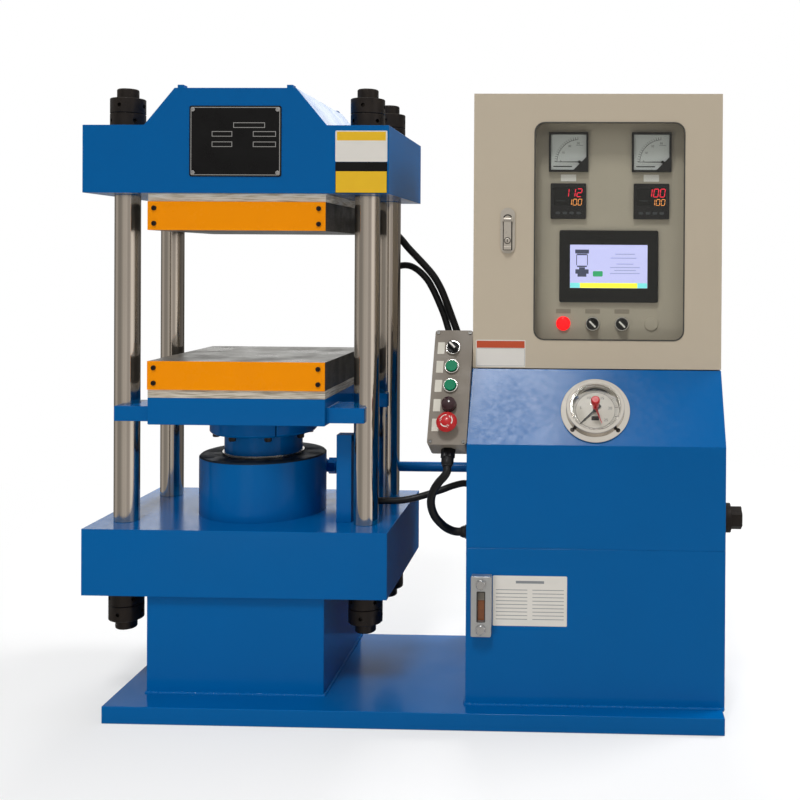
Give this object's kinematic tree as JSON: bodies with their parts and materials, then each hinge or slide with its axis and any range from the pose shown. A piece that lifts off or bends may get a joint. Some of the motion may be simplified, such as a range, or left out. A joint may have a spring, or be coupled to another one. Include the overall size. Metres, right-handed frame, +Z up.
{
  "type": "rubber vulcanizing press",
  "caption": "Four-column hydraulic plate press with heated platens, ram from below, oil tank, cabinet with pressure gauge and an electrical box with a glazed door",
  "frame": {"origin": "on the floor, on the axis of the ram", "axes": "+Z up along the ram, -Y to the front where the platen covers, door and gauge face, +X to the right towards the cabinet"},
  "size_m": [1.2933, 0.5033, 1.224],
  "materials": {
    "press_paint": "semi-gloss",
    "box_paint": "fine texture, satin",
    "cover_paint": "satin",
    "chrome": "polished",
    "black_steel": "black oxide",
    "platen_steel": "ground",
    "insulation": "pressed fibre sheet",
    "steel": "turned",
    "hose": "matte",
    "black_plastic": "satin",
    "grey_plastic": "fine texture",
    "clear": "clear",
    "red_plastic": "gloss",
    "green_plastic": "gloss",
    "motor_paint": "satin"
  },
  "bodies": {
    "machine": {"base_plate": "press_paint", "pedestal": "press_paint", "lower_block": "press_paint", "tie_columns": "chrome", "tie_nuts": "black_steel", "upper_beam": "press_paint", "upper_insulation": "insulation", "upper_platen": "platen_steel", "upper_cover": "cover_paint", "cylinder": "press_paint", "wiper_ring": "steel", "oil_pipe": "press_paint", "switch_post": "press_paint", "proximity_switch": "steel", "oil_tank": "press_paint", "pump_unit": "motor_paint", "cabinet_body": "press_paint", "rear_cover": "press_paint", "level_gauge": "steel", "gauge_case": "chrome", "gauge_cover": "clear", "relief_valve": "black_steel", "electrical_box": "box_paint", "hinge_pins": "steel", "instrument_panel": "box_paint", "ammeters": "black_plastic", "temperature_controllers": "black_plastic", "touch_panel": "black_plastic", "control_bezels": "steel", "pilot_lamps": "red_plastic", "pendant_box": "grey_plastic", "pendant_lid": "grey_plastic", "cable_glands": "black_plastic", "upper_conduit": "hose", "lower_conduit": "hose", "pendant_conduit": "hose", "switch_cable": "hose"},
    "door": {"door": "box_paint", "window_pane": "clear", "lock_plate": "chrome"},
    "lock_handle": {"lock_handle": "chrome"},
    "ram": {"ram": "press_paint", "moving_beam": "press_paint", "lower_insulation": "insulation", "lower_platen": "platen_steel", "lower_cover": "cover_paint", "clamp_ring": "press_paint", "lower_gland": "black_plastic"},
    "panel_selector_left": {"panel_selector_left": "black_plastic"},
    "panel_selector_right": {"panel_selector_right": "black_plastic"},
    "pendant_selector": {"pendant_selector": "black_plastic"},
    "upper_button": {"upper_button": "green_plastic"},
    "lower_button": {"lower_button": "green_plastic"},
    "estop_stem": {"estop_stem": "steel"},
    "estop_head": {"estop_head": "red_plastic"},
    "gauge_pointer": {"gauge_pointer": "black_plastic"},
    "gauge_knob": {"gauge_knob": "red_plastic"},
    "ammeter_needle_left": {"ammeter_needle_left": "black_plastic"},
    "ammeter_needle_right": {"ammeter_needle_right": "black_plastic"},
    "relief_adjuster": {"relief_adjuster": "black_steel"}
  },
  "joints": [
    {"name": "ram_slide", "type": "slide", "parent": "machine", "child": "ram", "axis": [0, 0, 1], "range_m": [0, 0.25], "deforming": ["lower_conduit"]},
    {"name": "door_swing", "type": "hinge", "parent": "machine", "child": "door", "pos_m": [0.945, -0.107, 0.9435], "axis": [0, 0, 1], "range_deg": [0, 110]},
    {"name": "lock_lift", "type": "hinge", "parent": "door", "child": "lock_handle", "pos_m": [0.5245, -0.12, 0.966], "axis": [-1, 0, 0], "range_deg": [0, 60]},
    {"name": "selector_left_turn", "type": "hinge", "parent": "machine", "child": "panel_selector_left", "pos_m": [0.6945, -0.067, 0.757], "axis": [0, 1, 0], "range_deg": [0, 90]},
    {"name": "selector_right_turn", "type": "hinge", "parent": "machine", "child": "panel_selector_right", "pos_m": [0.754, -0.067, 0.757], "axis": [0, 1, 0], "range_deg": [0, 90]},
    {"name": "pendant_selector_turn", "type": "hinge", "parent": "machine", "child": "pendant_selector", "pos_m": [0.4167, -0.11256, 0.70846], "axis": [0, 0.887, -0.4617], "range_deg": [0, 90]},
    {"name": "upper_button_press", "type": "slide", "parent": "machine", "child": "upper_button", "axis": [0, 0.887, -0.4617], "range_m": [0, 0.004], "stiffness_N_per_m": 800},
    {"name": "lower_button_press", "type": "slide", "parent": "machine", "child": "lower_button", "axis": [0, 0.887, -0.4617], "range_m": [0, 0.004], "stiffness_N_per_m": 800},
    {"name": "estop_press", "type": "slide", "parent": "machine", "child": "estop_stem", "axis": [0, 0.887, -0.4617], "range_m": [0, 0.006]},
    {"name": "estop_twist", "type": "hinge", "parent": "estop_stem", "child": "estop_head", "pos_m": [0.4167, -0.18644, 0.56654], "axis": [0, 0.887, -0.4617], "range_deg": [0, 45], "stiffness_Nm_per_rad": 0.05},
    {"name": "gauge_pointer_turn", "type": "hinge", "parent": "machine", "child": "gauge_pointer", "pos_m": [0.701, -0.16103, 0.59308], "axis": [0, 0.8368, -0.5476], "range_deg": [0, 270], "stiffness_Nm_per_rad": 0.001},
    {"name": "gauge_knob_turn", "type": "hinge", "parent": "machine", "child": "gauge_knob", "pos_m": [0.701, -0.16103, 0.59308], "axis": [0, 0.8368, -0.5476], "range_deg": [-135, 135]},
    {"name": "needle_left_turn", "type": "hinge", "parent": "machine", "child": "ammeter_needle_left", "pos_m": [0.666, -0.067, 1.085], "axis": [0, 1, 0], "range_deg": [0, 90], "stiffness_Nm_per_rad": 0.0005},
    {"name": "needle_right_turn", "type": "hinge", "parent": "machine", "child": "ammeter_needle_right", "pos_m": [0.834, -0.067, 1.085], "axis": [0, 1, 0], "range_deg": [0, 90], "stiffness_Nm_per_rad": 0.0005},
    {"name": "relief_turn", "type": "hinge", "parent": "machine", "child": "relief_adjuster", "pos_m": [0.971, -0.1, 0.374], "axis": [1, 0, 0], "range_deg": [-180, 180]}
  ]
}
